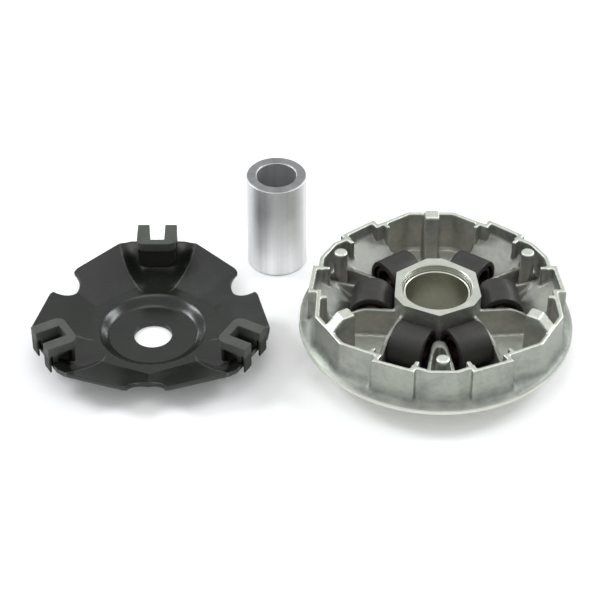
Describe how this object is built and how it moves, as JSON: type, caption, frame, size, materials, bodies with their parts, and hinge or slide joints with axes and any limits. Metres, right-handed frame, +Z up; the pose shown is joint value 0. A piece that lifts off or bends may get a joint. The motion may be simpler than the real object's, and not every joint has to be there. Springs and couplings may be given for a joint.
{
  "type": "cvt pulley set",
  "caption": "Movable half of a scooter belt variator set out in three items: cast drive face with weight rollers on ramps, black ramp plate with slide pieces, and plain boss sleeve.",
  "frame": {"origin": "middle of the laid-out set's footprint, on the surface it lies on", "axes": "+X from the ramp plate towards the drive face, +Y from the drive face towards the boss sleeve, +Z up"},
  "size_m": [0.2602, 0.1468, 0.0525],
  "materials": {
    "cast_alloy": "as-cast and tumbled, satin, with machined hub face, posts, ramps and rim edge",
    "turned_steel": "fine turned, bright satin",
    "bush_steel": "honed, grey",
    "black_coat": "smooth black coating, semi-gloss",
    "slide_plastic": "moulded, matt dark grey",
    "roller_nylon": "moulded black nylon, low sheen",
    "roller_core": "dull metal ring"
  },
  "bodies": {
    "drive_face": {"drive_face": "cast_alloy", "hub_bush": "bush_steel"},
    "roller_1": {"roller_shell_1": "roller_nylon", "roller_core_1": "roller_core"},
    "roller_2": {"roller_shell_2": "roller_nylon", "roller_core_2": "roller_core"},
    "roller_3": {"roller_shell_3": "roller_nylon", "roller_core_3": "roller_core"},
    "roller_4": {"roller_shell_4": "roller_nylon", "roller_core_4": "roller_core"},
    "roller_5": {"roller_shell_5": "roller_nylon", "roller_core_5": "roller_core"},
    "roller_6": {"roller_shell_6": "roller_nylon", "roller_core_6": "roller_core"},
    "ramp_plate": {"ramp_plate": "black_coat", "slide_piece_1": "slide_plastic", "slide_piece_2": "slide_plastic", "slide_piece_3": "slide_plastic"},
    "boss_sleeve": {"boss_sleeve": "turned_steel"}
  },
  "joints": [
    {"name": "roller_1_slide", "type": "slide", "parent": "drive_face", "child": "roller_1", "axis": [0.8259, 0.0723, 0.5592], "range_m": [0, 0.0133]},
    {"name": "roller_2_slide", "type": "slide", "parent": "drive_face", "child": "roller_2", "axis": [0.4755, 0.6791, 0.5592], "range_m": [0, 0.0133]},
    {"name": "roller_3_slide", "type": "slide", "parent": "drive_face", "child": "roller_3", "axis": [-0.4755, 0.6791, 0.5592], "range_m": [0, 0.0133]},
    {"name": "roller_4_slide", "type": "slide", "parent": "drive_face", "child": "roller_4", "axis": [-0.8259, 0.0723, 0.5592], "range_m": [0, 0.0133]},
    {"name": "roller_5_slide", "type": "slide", "parent": "drive_face", "child": "roller_5", "axis": [-0.3504, -0.7514, 0.5592], "range_m": [0, 0.0133]},
    {"name": "roller_6_slide", "type": "slide", "parent": "drive_face", "child": "roller_6", "axis": [0.3504, -0.7514, 0.5592], "range_m": [0, 0.0133]},
    {"name": "plate_lift", "type": "slide", "parent": "drive_face", "child": "ramp_plate", "axis": [0, 0, 1], "range_m": [0, 0.06]},
    {"name": "sleeve_lift", "type": "slide", "parent": "drive_face", "child": "boss_sleeve", "axis": [0, 0, 1], "range_m": [0, 0.06]}
  ],
  "couplings": [
    {"joint": "roller_2_slide", "follows": "roller_1_slide", "ratio": 1},
    {"joint": "roller_3_slide", "follows": "roller_1_slide", "ratio": 1},
    {"joint": "roller_4_slide", "follows": "roller_1_slide", "ratio": 1},
    {"joint": "roller_5_slide", "follows": "roller_1_slide", "ratio": 1},
    {"joint": "roller_6_slide", "follows": "roller_1_slide", "ratio": 1}
  ]
}
